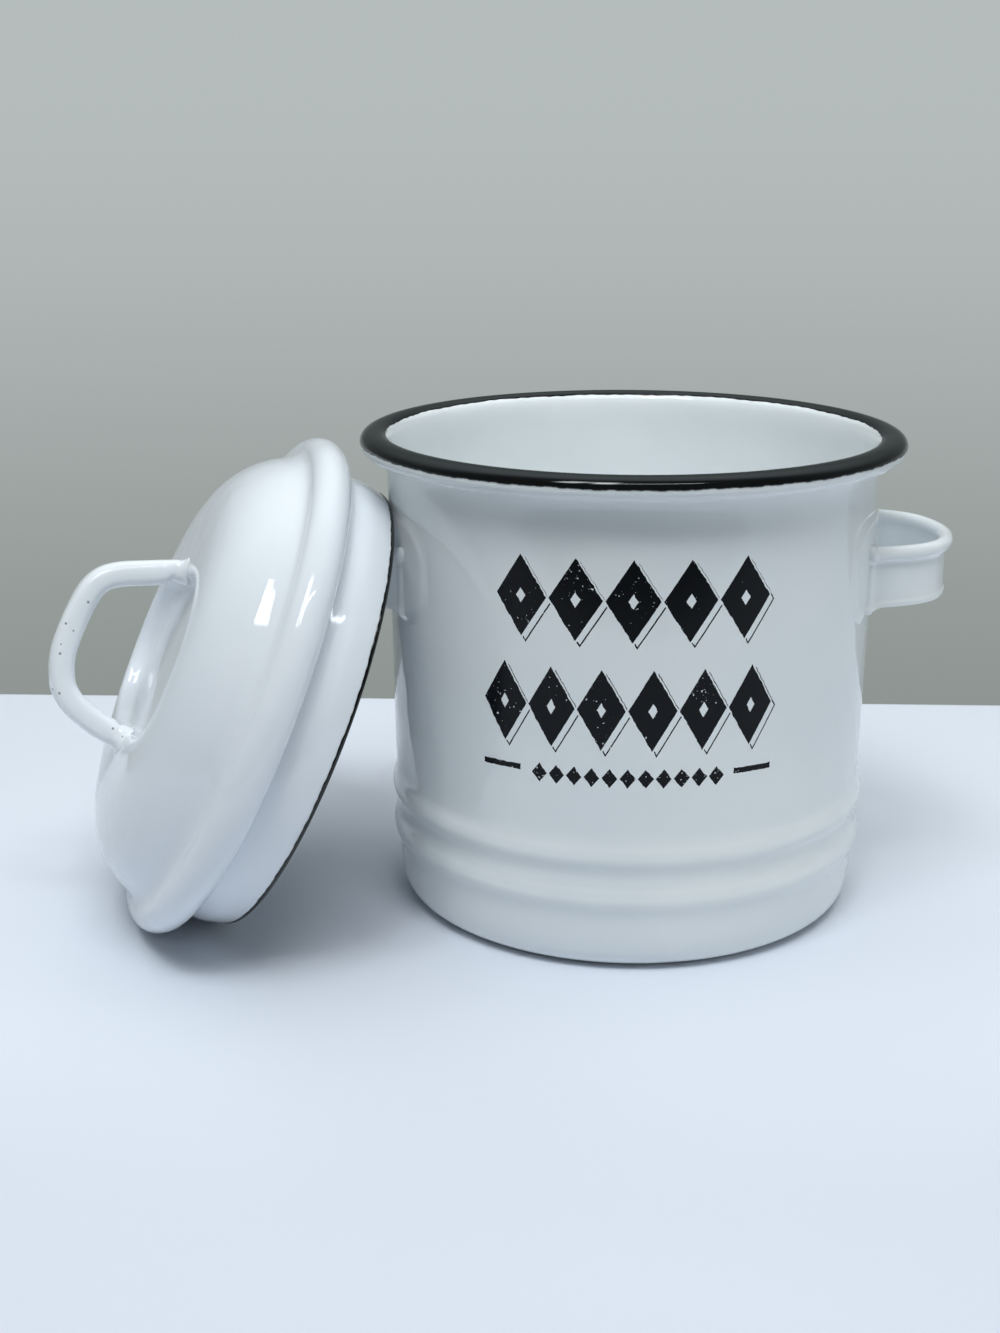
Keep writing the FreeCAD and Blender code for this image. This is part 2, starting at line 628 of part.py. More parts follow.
PIECES = [
    make_pot_shell(),
    make_rim_band(),
    make_ear_plate("right_ear_plate", 0),
    make_ear_loop("right_ear_loop", 0),
    make_ear_plate("left_ear_plate", 180),
    make_ear_loop("left_ear_loop", 180),
    make_lid_shell(),
    make_lid_edge_band(),
    make_lid_handle(),
]
doc.recompute()

for item in doc.Objects:
    if "Invalid" in item.State or "Error" in item.State:
        raise ValueError(f"{item.Label}: {item.State}")

os.makedirs("parts", exist_ok=True)
for piece in PIECES:
    shape = piece.Shape
    if shape.isNull() or not shape.isValid() or len(shape.Solids) != 1:
        raise ValueError(f"{piece.Label}: not one valid solid")
    shape.exportStep(f"parts/{piece.Label}.step")
    box = shape.BoundBox
    print(f"{piece.Label}: {shape.Volume:.0f} mm3, x {box.XMin:.1f} to {box.XMax:.1f},"
          f" y {box.YMin:.1f} to {box.YMax:.1f}, z {box.ZMin:.1f} to {box.ZMax:.1f}")
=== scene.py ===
# %% [markdown]
# # Dressing an enamelled grease keeper
#
# The object is a small steel pot with two strap ears, and a domed lid that leans open against
# it. Everything but two black edges is dipped in white enamel. Here the engineering model
# gives the place and size of each piece, and this lesson makes each piece again as a finer
# mesh: soft fillets where the enamel pools, an uneven black edge, a worn print. We start by
# loading the engineering model. Lengths in the lesson are in millimetres, as on a drawing,
# and turn into Blender's metres when a mesh is made. Only the table and the lamps, which
# aren't part of the object, are written in metres.

# %% Load the frame
import math

import bpy
import numpy as np
from mathutils import Matrix, Vector


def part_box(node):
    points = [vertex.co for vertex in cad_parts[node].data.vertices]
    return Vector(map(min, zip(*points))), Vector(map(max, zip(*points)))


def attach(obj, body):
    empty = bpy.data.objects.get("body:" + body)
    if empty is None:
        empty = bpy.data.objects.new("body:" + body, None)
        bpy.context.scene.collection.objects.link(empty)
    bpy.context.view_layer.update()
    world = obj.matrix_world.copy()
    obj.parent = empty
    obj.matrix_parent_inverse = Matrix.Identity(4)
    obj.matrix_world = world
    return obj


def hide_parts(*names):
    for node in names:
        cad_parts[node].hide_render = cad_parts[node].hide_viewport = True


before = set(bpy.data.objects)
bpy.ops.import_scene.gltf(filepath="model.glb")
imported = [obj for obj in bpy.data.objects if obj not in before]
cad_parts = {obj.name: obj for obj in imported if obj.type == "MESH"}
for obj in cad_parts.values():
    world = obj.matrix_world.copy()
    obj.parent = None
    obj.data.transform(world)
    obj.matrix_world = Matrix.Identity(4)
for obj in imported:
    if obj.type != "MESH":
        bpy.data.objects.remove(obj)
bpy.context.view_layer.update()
MM = 0.001
for node in sorted(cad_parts):
    low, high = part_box(node)
    print(node, [round(value / MM, 1) for value in (*low, *high)])

# %% [markdown]
# ## The camera
#
# The camera stands a little left of the pot and looks down on it by about 17 degrees. A camera
# in Blender looks along its own -Z axis, so its matrix is built from three directions: right,
# up and backwards. A lens of 49 mm on a 36 mm sensor keeps the ellipses of the rim natural.

# %% Camera
LOOK_DOWN = math.radians(16.79)
TILT = math.radians(-0.086)
CAMERA_PLACE = Vector((-35.15, -485.2, 209.1)) * MM
LENS = 49.41
SENSOR = 36
CLIP_NEAR, CLIP_FAR = 0.01, 20

forward = Vector((0, math.cos(LOOK_DOWN), -math.sin(LOOK_DOWN)))
level = Vector((1, 0, 0))
upright = Vector((0, math.sin(LOOK_DOWN), math.cos(LOOK_DOWN)))
right = level * math.cos(TILT) + upright * math.sin(TILT)
up = upright * math.cos(TILT) - level * math.sin(TILT)
camera = bpy.data.objects.new("camera", bpy.data.cameras.new("camera"))
bpy.context.scene.collection.objects.link(camera)
turn = Matrix((right, up, -forward)).transposed()
camera.matrix_world = Matrix.Translation(CAMERA_PLACE) @ turn.to_4x4()
camera.data.lens = LENS
camera.data.sensor_width = SENSOR
camera.data.clip_start = CLIP_NEAR
camera.data.clip_end = CLIP_FAR
bpy.context.scene.camera = camera
print("camera at", [round(value, 3) for value in CAMERA_PLACE])

# %% [markdown]
# ## Sums in shader sockets
#
# A material is a tree of nodes, and a long sum of Math nodes is hard to read as links. So one
# small class wraps a socket and lets Python's own operators add the Math nodes: `1 - mask`
# then means what it says. Every other node comes from one method, `node`, which takes the
# node's type, its settings, and what goes into its sockets. Three short methods under it only
# call it for the nodes that come up again and again: a mix of two colours, a cloudy noise, and
# the three numbers of a place.

# %% Class for a node tree


class Paint:
    """The node tree of a material, or of the world."""

    def __init__(self, owner):
        owner.use_nodes = True
        self.owner = owner
        self.tree = owner.node_tree
        self.tree.nodes.clear()

    def node(self, kind, settings=None, inputs=None, out=0):
        """Adds a node: its settings first, then its sockets. Gives one output as a Term."""
        made = self.tree.nodes.new(kind)
        for name, value in (settings or {}).items():
            setattr(made, name, value)
        for name, value in (inputs or {}).items():
            socket = made.inputs[name]
            if isinstance(value, Term):
                self.tree.links.new(value.socket, socket)
            else:
                socket.default_value = value
        return Term(self, made.outputs[out]) if made.outputs else None

    def blend(self, share, first, second):
        """A colour on the way from the first to the second."""
        colours = {"Factor": share, "A": first, "B": second}
        return self.node("ShaderNodeMix", {"data_type": "RGBA"}, colours, 2)

    def noise(self, place, scale, detail):
        """Clouds of numbers round a half, finer with a larger scale."""
        clouds = {"Vector": place, "Scale": scale, "Detail": detail}
        return self.node("ShaderNodeTexNoise", None, clouds)

    def split(self, vector):
        """The three numbers of a place or a direction."""
        first = self.node("ShaderNodeSeparateXYZ", None, {0: vector})
        return [first.beside(name) for name in "XYZ"]

    def finish(self, shader, kind="Material"):
        """Joins the shader to the output and gives the finished material or world."""
        self.node("ShaderNodeOutput" + kind, None, {"Surface": shader})
        return self.owner


print("a tree is filled by", [name for name in vars(Paint) if not name.startswith("_")])

# %% Class for sockets


class Term:
    """A socket in a sum."""

    def __init__(self, paint, socket):
        self.paint = paint
        self.socket = socket

    def math(self, operation, first, second=0.0):
        return self.paint.node("ShaderNodeMath", {"operation": operation}, {0: first, 1: second})

    def __add__(self, other):
        return self.math("ADD", self, other)

    __radd__ = __add__

    def __sub__(self, other):
        return self.math("SUBTRACT", self, other)

    def __rsub__(self, other):
        return self.math("SUBTRACT", other, self)

    def __mul__(self, other):
        return self.math("MULTIPLY", self, other)

    __rmul__ = __mul__

    def __truediv__(self, other):
        return self.math("DIVIDE", self, other)

    def __gt__(self, other):
        return self.math("GREATER_THAN", self, other)

    def __lt__(self, other):
        return self.math("LESS_THAN", self, other)

    def size(self):
        return self.math("ABSOLUTE", self)

    def root(self):
        return self.math("SQRT", self)

    def most(self, other):
        return self.math("MAXIMUM", self, other)

    def bearing(self, other):
        """The angle whose sine goes with this number and whose cosine goes with the other."""
        return self.math("ARCTAN2", self, other)

    def part(self):
        """What is left of a number past its whole part."""
        return self.math("FRACT", self)

    def rise(self, low, high):
        """0 below low, 1 above high and a soft step between. High may be below low."""
        return self.paint.node(
            "ShaderNodeMapRange", {"interpolation_type": "SMOOTHSTEP"},
            {"Value": self, "From Min": low, "From Max": high})

    def beside(self, name):
        """Another output of the same node."""
        return Term(self.paint, self.socket.node.outputs[name])


print("shader sums ready")

# %% [markdown]
# ## Table
#
# The setting is a pale table in front of a plain wall. The table is one bent sheet: a rounded
# front edge that drops to the floor, a level top, and a long slope behind the pot. So the
# camera sees a straight back edge, and a view from any other side is never blocked. The top
# is a satin off-white with painted shade: its colour is a shade darker towards the front,
# where the light leaves it.

# %% Table
TABLE_BACK = 0.165
TABLE_FRONT = -0.345
TABLE_SIDE = 2.0
TABLE_TURN = math.radians(-2.4)
FRONT_DROP = 0.9
BACK_SLOPE = (1.6, -0.75)
TABLE_SHADED = (0.712, 0.748, 0.835, 1)
TABLE_PALE = (0.815, 0.858, 0.94, 1)
DEEP_BEFORE, PALE_BEHIND = -0.175, -0.08
TABLE_CLOUDS, CLOUD_SHARE = 9.0, 0.2
TABLE_ROUGHNESS = 0.55

# The line runs from front to back, as (depth, height).
table_line = [(TABLE_FRONT - 0.012, -FRONT_DROP), (TABLE_FRONT - 0.012, -0.012),
              (TABLE_FRONT - 0.0085, -0.0035), (TABLE_FRONT, 0),
              (TABLE_BACK - 0.003, 0), (TABLE_BACK, -0.0006), (TABLE_BACK + 0.003, -0.0024),
              (TABLE_BACK + BACK_SLOPE[0], BACK_SLOPE[1])]
table_mesh = bpy.data.meshes.new("table")
table_points = [(x, y, z) for y, z in table_line for x in (-TABLE_SIDE, TABLE_SIDE)]
table_faces = [(2 * k, 2 * k + 1, 2 * k + 3, 2 * k + 2) for k in range(len(table_line) - 1)]
table_mesh.from_pydata(table_points, [], table_faces)
table = bpy.data.objects.new("table", table_mesh)
table.rotation_euler.z = TABLE_TURN
bpy.context.scene.collection.objects.link(table)

paint = Paint(bpy.data.materials.new("pale table"))
place = paint.node("ShaderNodeTexCoord", None, None, "Object")
cloud = paint.noise(place, TABLE_CLOUDS, 2.0)
# Painted shade: the top is mixed darker towards the front, where the light falls off.
inward = paint.split(place)[1].rise(DEEP_BEFORE, PALE_BEHIND)
colour = paint.blend(inward * (1 - CLOUD_SHARE) + cloud * CLOUD_SHARE, TABLE_SHADED, TABLE_PALE)
satin = paint.node("ShaderNodeBsdfPrincipled", None,
                   {"Base Color": colour, "Roughness": TABLE_ROUGHNESS})
table_mesh.materials.append(paint.finish(satin))
print("table top runs", TABLE_FRONT, "to", TABLE_BACK, "m in depth")

# %% [markdown]
# ## The room
#
# Glossy enamel is a picture of its room, so the room matters more than the lamps. It could be
# built of walls, but the world's colour can do it with no mesh to get in another view's way.
# The world answers three kinds of rays. The camera sees a grey-green wall that is darker low
# down. Reflections see that wall behind, a dim room in front, and a pale ceiling high up,
# which gives the black rim its grey upper strip. All other rays get one even, soft light.

# %% World
WALL_LOW = (0.262, 0.292, 0.278, 1)
WALL_HIGH = (0.460, 0.500, 0.500, 1)
DIM_WALL = (0.14, 0.165, 0.165, 1)
CEILING = (0.76, 0.87, 0.92, 1)
ROOM = (0.07, 0.08, 0.078, 1)
SOFT_LIGHT = (0.092, 0.102, 0.088, 1)

# A direction has a height from -1, straight down, to 1, straight up, and a depth from -1,
# towards the front, to 1, towards the back. Each pair is where a colour starts and ends.
WALL_FADE = (-0.35, 0.02)
DIM_FADE = (-0.2, 0.15)
ROOM_FADE = (-0.4, 0.2)
CEILING_HEIGHTS = (0.3, 1.05)
CEILING_DEPTHS = (-0.1, 0.4)

world = bpy.data.worlds.new("room")
bpy.context.scene.world = world
sky = Paint(world)
towards = sky.node("ShaderNodeTexCoord", None, None, "Generated")
depth, height = sky.split(towards)[1:]
back_wall = sky.blend(height.rise(*WALL_FADE), WALL_LOW, WALL_HIGH)
mirrored_wall = sky.blend(height.rise(*DIM_FADE), back_wall, DIM_WALL)
walls = sky.blend(depth.rise(*ROOM_FADE), ROOM, mirrored_wall)
overhead = height.rise(*CEILING_HEIGHTS) * depth.rise(*CEILING_DEPTHS)
seen_room = sky.blend(overhead, walls, CEILING)
is_camera = sky.node("ShaderNodeLightPath", None, None, "Is Camera Ray")
is_mirrored = is_camera.beside("Is Glossy Ray").most(is_camera.beside("Is Transmission Ray"))
lit = sky.blend(is_mirrored, SOFT_LIGHT, seen_room)
shown = sky.blend(is_camera, lit, back_wall)
background = sky.node("ShaderNodeBackground", None, {"Color": shown, "Strength": 1.0})
sky.finish(background, "World")
print("room of", len(sky.tree.nodes), "nodes")

# %% [markdown]
# ## Lamps
#
# The light is soft and comes mostly from high up in front. Two narrow panes and a long strip
# are the lamps that the enamel mirrors, as bright marks on the lid and a line on the rim.
# Three larger panels only fill: they would show as dull squares in the gloss, so they are
# hidden from glossy rays. Last comes a lamp with a snoot, a narrow spot that reaches down
# into the pot, where no light bounces in from the table.

# %% Lamps
LAMP_WHITE = (0.93, 0.97, 1.0)


def lamp(name, place, aim, wide, long, watts, glossy=True):
    """A soft panel that faces its aim."""
    data = bpy.data.lights.new(name, "AREA")
    data.shape = "RECTANGLE"
    data.size = wide
    data.size_y = long
    data.energy = watts
    data.color = LAMP_WHITE
    made = bpy.data.objects.new(name, data)
    made.location = place
    made.rotation_euler = (Vector(aim) - Vector(place)).to_track_quat("-Z", "Y").to_euler()
    made.visible_glossy = glossy
    bpy.context.scene.collection.objects.link(made)
    print(f"{name}: {watts} W from {Vector(place).length:.2f} m away")


BETWEEN = (-0.04, 0, 0.08)
POT_MIDDLE = (0, 0, 0.08)
lamp("window left pane", (-0.52, -0.66, 1.52), BETWEEN, 0.195, 0.60, 3.7)
lamp("window right pane", (-0.265, -0.735, 1.55), BETWEEN, 0.195, 0.60, 3.7)
lamp("strip lamp", (0.09, -0.81, 1.55), POT_MIDDLE, 0.95, 0.075, 3.2)
lamp("front fill", (0.105, -0.78, 1.55), POT_MIDDLE, 0.84, 0.45, 7.0, glossy=False)
lamp("right fill", (0.95, -0.25, 0.32), (0, 0, 0.06), 0.5, 0.4, 1.0, glossy=False)
lamp("overhead fill", (-0.02, 0.30, 1.2), (-0.02, 0.30, 0), 1.7, 1.3, 9.4, glossy=False)

# %% Lamp with a snoot
SNOOT_PLACE = Vector((0.0, -0.46, 1.05))
SNOOT_AIM = Vector((0, 0.012, 0.125))
SNOOT_ANGLE, SNOOT_SOFTNESS = 7.4, 0.5
SNOOT_WATTS, SNOOT_RADIUS = 12.0, 0.03
snoot_data = bpy.data.lights.new("snoot", "SPOT")
snoot_data.energy = SNOOT_WATTS
snoot_data.color = LAMP_WHITE
snoot_data.spot_size = math.radians(SNOOT_ANGLE)
snoot_data.spot_blend = SNOOT_SOFTNESS
snoot_data.shadow_soft_size = SNOOT_RADIUS
snoot = bpy.data.objects.new("snoot", snoot_data)
snoot.location = SNOOT_PLACE
snoot.rotation_euler = (SNOOT_AIM - SNOOT_PLACE).to_track_quat("-Z", "Y").to_euler()
snoot.visible_glossy = False
bpy.context.scene.collection.objects.link(snoot)
print("the snoot lets out", SNOOT_ANGLE, "degrees of light into the pot")

# %% [markdown]
# ## Enamel
#
# Enamel is glass fused onto steel. It is opaque, hard and very smooth, but never flat: it
# flows a little as it melts, so reflections wander. Here that is a slow wave and a finer
# orange peel in the bump, and a trace of cloud in the white. Three whites are mixed: the pot's,
# the lid's, a little bluer, and the handle's, paler and bluer still as painted light for the
# bright light on its top. On the handle gas also left a few grey pinholes. Coordinates come
# from the object, in metres, so no UV map is needed and the finish has the same scale on each
# piece.

# %% Recipe for white enamel
POT_WHITES = ((0.810, 0.850, 0.870, 1), (0.840, 0.875, 0.885, 1))
LID_WHITES = ((0.805, 0.848, 0.898, 1), (0.832, 0.870, 0.918, 1))
# Painted light: the handle's white is paler and bluer for the bright light its top catches.
HANDLE_LIT_WHITES = ((0.870, 0.905, 0.945, 1), (0.890, 0.925, 0.960, 1))
PINHOLE_GREY = (0.30, 0.305, 0.31, 1)
INK_BLACK = (0.004, 0.005, 0.007, 1)

# How fine each texture is: a larger number gives more of its clouds or cells to the metre.
FLOW_WAVES, ORANGE_PEEL = 60.0, 420.0
WHITE_CLOUDS, HAZE_CLOUDS = 22.0, 35.0
PINHOLE_CELLS, PINHOLE_SHARE = 280.0, 0.7
PINHOLE_FROM, PINHOLE_TO = 0.12, 0.072
WHITE_FROM, WHITE_TO = 0.35, 0.65

# How rough and how refractive each shader is. Roughness starts at a number and grows with haze.
WHITE_GLOSS, WHITE_HAZE, WHITE_IOR = 0.03, 0.06, 1.52
INK_ROUGHNESS, INK_IOR = 0.2, 1.27

# The bump: how deep and strong it is, and the shares of wave and peel in the white's.
BUMP_DEPTH, BUMP_STRENGTH = 0.001, 0.35
WHITE_BUMP = (1.0, 0.05)


def enamel_bump(paint, place, wave, peel):
    """Slow flow waves with fine orange peel on top, as a normal."""
    slow = paint.noise(place, FLOW_WAVES, 1.0)
    fine = paint.noise(place, ORANGE_PEEL, 1.0)
    return paint.node("ShaderNodeBump", None, {
        "Height": slow * wave + fine * peel, "Distance": BUMP_DEPTH, "Strength": BUMP_STRENGTH})


def pinholes(paint, place, share):
    """1 inside small round holes. Share is how many cells of a grid have one."""
    away = paint.node("ShaderNodeTexVoronoi", None, {"Vector": place, "Scale": PINHOLE_CELLS})
    pick = paint.node("ShaderNodeSeparateColor", None, {0: away.beside("Color")})
    return away.rise(PINHOLE_FROM, PINHOLE_TO) * (pick > (1 - share))


def white_enamel(name, whites, holes=0.0, print_mask=None):
    """White enamel, with a share of pinholes, or with ink where a print's mask says."""
    paint = Paint(bpy.data.materials.new(name))
    place = paint.node("ShaderNodeTexCoord", None, None, "Object")
    cloud = paint.noise(place, WHITE_CLOUDS, 3.0)
    colour = paint.blend(cloud.rise(WHITE_FROM, WHITE_TO), *whites)
    if holes:
        colour = paint.blend(pinholes(paint, place, holes), colour, PINHOLE_GREY)
    haze = paint.noise(place, HAZE_CLOUDS, 4.0)
    shader = paint.node("ShaderNodeBsdfPrincipled", None, {
        "Base Color": colour, "Roughness": WHITE_GLOSS + WHITE_HAZE * haze, "IOR": WHITE_IOR,
        "Normal": enamel_bump(paint, place, *WHITE_BUMP)})
    if print_mask:
        ink = paint.node("ShaderNodeBsdfPrincipled", None, {
            "Base Color": INK_BLACK, "Roughness": INK_ROUGHNESS, "IOR": INK_IOR})
        mask = print_mask(paint, place)
        shader = paint.node("ShaderNodeMixShader", None, {0: mask, 1: shader, 2: ink})
    return paint.finish(shader)


EAR_WHITE = white_enamel("white enamel", POT_WHITES)
LID_WHITE = white_enamel("lid enamel", LID_WHITES)
HANDLE_WHITE = white_enamel("pitted enamel", HANDLE_LIT_WHITES, holes=PINHOLE_SHARE)
print("whites:", [made.name for made in (EAR_WHITE, LID_WHITE, HANDLE_WHITE)])

# %% Black enamel
BLACKS = ((0.002, 0.0025, 0.0025, 1), (0.005, 0.0055, 0.006, 1))
BLACK_CLOUDS = 90.0
BLACK_GLOSS, BLACK_HAZE, BLACK_IOR = 0.05, 0.08, 1.5
BLACK_BUMP = (0.35, 0.02)


def black_enamel(name):
    """Black enamel: brushed on, so its gloss is a little less even."""
    paint = Paint(bpy.data.materials.new(name))
    place = paint.node("ShaderNodeTexCoord", None, None, "Object")
    cloud = paint.noise(place, BLACK_CLOUDS, 3.0)
    shader = paint.node("ShaderNodeBsdfPrincipled", None, {
        "Base Color": paint.blend(cloud, *BLACKS), "IOR": BLACK_IOR,
        "Roughness": BLACK_GLOSS + BLACK_HAZE * cloud,
        "Normal": enamel_bump(paint, place, *BLACK_BUMP)})
    return paint.finish(shader)


BLACK = black_enamel("black enamel")
print("black:", BLACK.name)

# %% [markdown]
# ## The print
#
# The front of the pot carries a worn black transfer that is fired into the glaze. Here it is
# a plain harlequin border: two rows of bold lozenges with an offset hairline, and a row of
# small ones between two short rules. It is drawn with shader sums from two numbers, the way
# round the wall in millimetres and the height, so it stays sharp at any distance. Noise eats
# small flecks out of it and bends its edges by a hair, as a screen print on enamel does. The
# ink is duller than the glaze, so it mixes in as a shader of its own. The inside of the wall
# is only a sheet's thickness behind, so the mask also asks how far out a point lies.

# %% Lozenges
# Each row is its left and right end round the wall, its lowest and highest point, and a count.
LOZENGE_ROWS = [(-38.0, 31.2, 88.2, 108.2, 5), (-42.0, 33.2, 60.6, 80.8, 6)]
SMALL_ROW = (-28.5, 20.6, 50.6, 55.8, 11)
WIDE_SHARE, TALL_SHARE = 0.52, 0.56
FAR_OUT = 9


def lozenges(around, height, row, shift=0.0):
    """How far a point is out from the middle of the nearest lozenge: 1 on its edge."""
    left, right, low, high, count = row
    cell = (right - left) / count
    step = (around - (left + shift)) / cell
    across = ((step.part() - 0.5) * cell).size()
    rise = (height - ((low + high) / 2 - shift)).size()
    inside = (step > 0) * (step < count)
    reach = across / (cell * WIDE_SHARE) + rise / ((high - low) * TALL_SHARE)
    return reach + (1 - inside) * FAR_OUT


print("print:", sum(row[-1] for row in LOZENGE_ROWS), "lozenges in", len(LOZENGE_ROWS), "rows")

# %% Printed enamel
PRINT_RADIUS = 64.6
RULES = [(-42.2, -31.4), (23.0, 33.6)]
RULE_HEIGHT, RULE_HALF = 53.9, 0.75
EDGE_BEND = 0.5
PRINT_GRAIN, FLECK_GRAIN = 700.0, 1500.0
PATCHES, PATCH_SHARE = 60.0, 0.35
FLECKS_FROM, FLECKS_TO = 0.885, 0.92

# Shares of a lozenge's size: its white eye, its edge, and the hairline round the shifted one.
EYE, BOLD_EDGE, SMALL_EDGE = 0.17, 0.92, 0.86
HAIRLINE_IN, HAIRLINE_OUT, HAIRLINE_SHIFT = 0.89, 0.95, 1.15
CLEAR_OF_BOLD = 0.99

# The middle of the sheet is this far from the pot's axis at the foot, and opens upwards.
SHEET_MIDDLE, WALL_OPENS = 62.95, 0.015


def harlequin(paint, place):
    """1 where there is ink."""
    bend = (paint.noise(place, PRINT_GRAIN, 2.0) - 0.5) * EDGE_BEND
    x, y, z = paint.split(place)
    around = x.bearing(y * -1) * PRINT_RADIUS + bend
    height = z * 1000 + bend
    ink = around * 0
    for row in LOZENGE_ROWS:
        bold = lozenges(around, height, row)
        line = lozenges(around, height, row, HAIRLINE_SHIFT)
        ink = ink.most((bold < BOLD_EDGE) * (bold > EYE))
        ink = ink.most((line < HAIRLINE_OUT) * (line > HAIRLINE_IN) * (bold > CLEAR_OF_BOLD))
    ink = ink.most(lozenges(around, height, SMALL_ROW) < SMALL_EDGE)
    for left, right in RULES:
        level = (height - RULE_HEIGHT).size() < RULE_HALF
        ink = ink.most((around > left) * (around < right) * level)
    radius = (x * x + y * y).root() * 1000
    outer_face = radius - height * WALL_OPENS > SHEET_MIDDLE
    flecks = paint.noise(place, FLECK_GRAIN, 3.0) + paint.noise(place, PATCHES, 2.0) * PATCH_SHARE
    return ink * ((y < 0) * outer_face) * (1 - flecks.rise(FLECKS_FROM, FLECKS_TO))


PRINTED_WHITE = white_enamel("printed enamel", POT_WHITES, print_mask=harlequin)
print("printed enamel:", len(PRINTED_WHITE.node_tree.nodes), "nodes")

# %% [markdown]
# ## Smooth lines and skins
#
# Most pieces here are pressed or spun from sheet, so their shape is a line that is turned
# round an axis or carried along a path. Two helpers serve them all. `smooth_line` draws a
# Catmull-Rom curve through a few measured points, and `skin` joins rows of points with
# four-sided faces. The first and the last row can be closed with a single point, or zipped up
# with plain strips, which suits a long flat loop.

# %% Smooth lines
SPAN_STEPS = 6


def smooth_line(points, steps=SPAN_STEPS, closed=False):
    """A curve through all the points. Close points make a tight bend, far ones a slow one."""
    points = np.array(points, float)
    if closed:
        run = np.vstack([points[-1:], points, points[:2]])
    else:
        run = np.vstack([2 * points[:1] - points[1:2], points, 2 * points[-1:] - points[-2:-1]])
    knots = np.concatenate([[0], np.cumsum(np.sqrt(np.linalg.norm(np.diff(run, axis=0), axis=1)))])
    line = []
    for k in range(1, len(run) - 2):
        p0, p1, p2, p3 = run[k - 1:k + 3]
        t0, t1, t2, t3 = knots[k - 1:k + 3]
        for t in np.linspace(t1, t2, steps, endpoint=False):
            a = (t1 - t) / (t1 - t0) * p0 + (t - t0) / (t1 - t0) * p1
            b = (t2 - t) / (t2 - t1) * p1 + (t - t1) / (t2 - t1) * p2
            c = (t3 - t) / (t3 - t2) * p2 + (t - t2) / (t3 - t2) * p3
            d = (t2 - t) / (t2 - t0) * a + (t - t0) / (t2 - t0) * b
            e = (t3 - t) / (t3 - t1) * b + (t - t1) / (t3 - t1) * c
            line.append((t2 - t) / (t2 - t1) * d + (t - t1) / (t2 - t1) * e)
    if not closed:
        line.append(points[-1])
    return np.array(line)


def line_lengths(line):
    """How far along the line each of its points lies."""
    return np.concatenate([[0], np.cumsum(np.linalg.norm(np.diff(line, axis=0), axis=1))])


def side_step(line, distance):
    """The line moved to its left by a distance."""
    run = np.gradient(line, axis=0)
    left = np.stack([-run[:, 1], run[:, 0]], 1) / np.linalg.norm(run, axis=1)[:, None]
    return line + left * distance


square = smooth_line([(0, 0), (1, 0), (1, 1), (0, 1)], closed=True)
print("a square drawn as a smooth line has", len(square), "points")

# %% Skins
SHEET = 1.2
AROUND = 288
ZIP = "zip"


def zip_faces(first, around):
    """Strips that close a loop by joining each point to the one across the middle line."""
    faces = []
    for j in range(around // 2):
        across, after = (around - j) % around, around - j - 1
        corners = [first + j, first + j + 1, first + after, first + across]
        faces.append(list(dict.fromkeys(corners)))
    return [face for face in faces if len(face) > 2]


def skin(name, rows, material, closed_rows=False, start=None, end=None):
    """A mesh from rows of points, each a closed loop. Start and end close the first and the
    last row, with a single point or with ZIP. closed_rows joins the last row to the first."""
    rows = np.array(rows, float)
    count, around = rows.shape[:2]
    points = rows.reshape(-1, 3)
    faces = []
    for k in range(count if closed_rows else count - 1):
        here, there = k * around, (k + 1) % count * around
        for j in range(around):
            n = (j + 1) % around
            faces.append((here + j, here + n, there + n, there + j))
    for pole, first in ((start, 0), (end, (count - 1) * around)):
        if pole is None:
            continue
        if isinstance(pole, str):
            strips = zip_faces(first, around)
            faces += [face[::-1] for face in strips] if first == 0 else strips
            continue
        points = np.vstack([points, [pole]])
        centre = len(points) - 1
        for j in range(around):
            side = (first + j, first + (j + 1) % around)
            faces.append((centre, *side[::-1]) if first == 0 else (centre, *side))
    mesh = bpy.data.meshes.new(name)
    mesh.from_pydata((points * MM).tolist(), [], faces)
    mesh.polygons.foreach_set("use_smooth", [True] * len(faces))
    mesh.materials.append(material)
    mesh.validate()
    piece = bpy.data.objects.new(name, mesh)
    bpy.context.scene.collection.objects.link(piece)
    print(f"{name}: {len(points)} points, {len(faces)} faces")
    return piece


def ring(radius, angle, height):
    """Points from their distance to an axis, their angle round it and their height."""
    return np.stack([radius * np.cos(angle), radius * np.sin(angle), height], 1)


def turned_rows(line, around):
    """Rows from a line of (radius, height), one row for each point of the line."""
    angles = np.linspace(0, 2 * math.pi, around, endpoint=False)
    return np.array([[(r * math.cos(a), r * math.sin(a), h) for a in angles] for r, h in line])


print("sheet", SHEET, "mm,", AROUND, "points around a turned piece")

# %% [markdown]
# ## The pot
#
# The pot is drawn from one disc of steel: base, corner, two raised rings that stiffen it, a
# wall that opens by a millimetre, and an edge that is rolled outwards. It is modelled as one
# closed line that is turned round the pot's axis. The outside comes from measured points, and
# the inside is that line moved in by the thickness of the sheet, so the rings show inside
# as well, as they do on a pressing. Only the rim needs many points between the measured ones.

# %% Pot shell
WALL_STEPS = 3

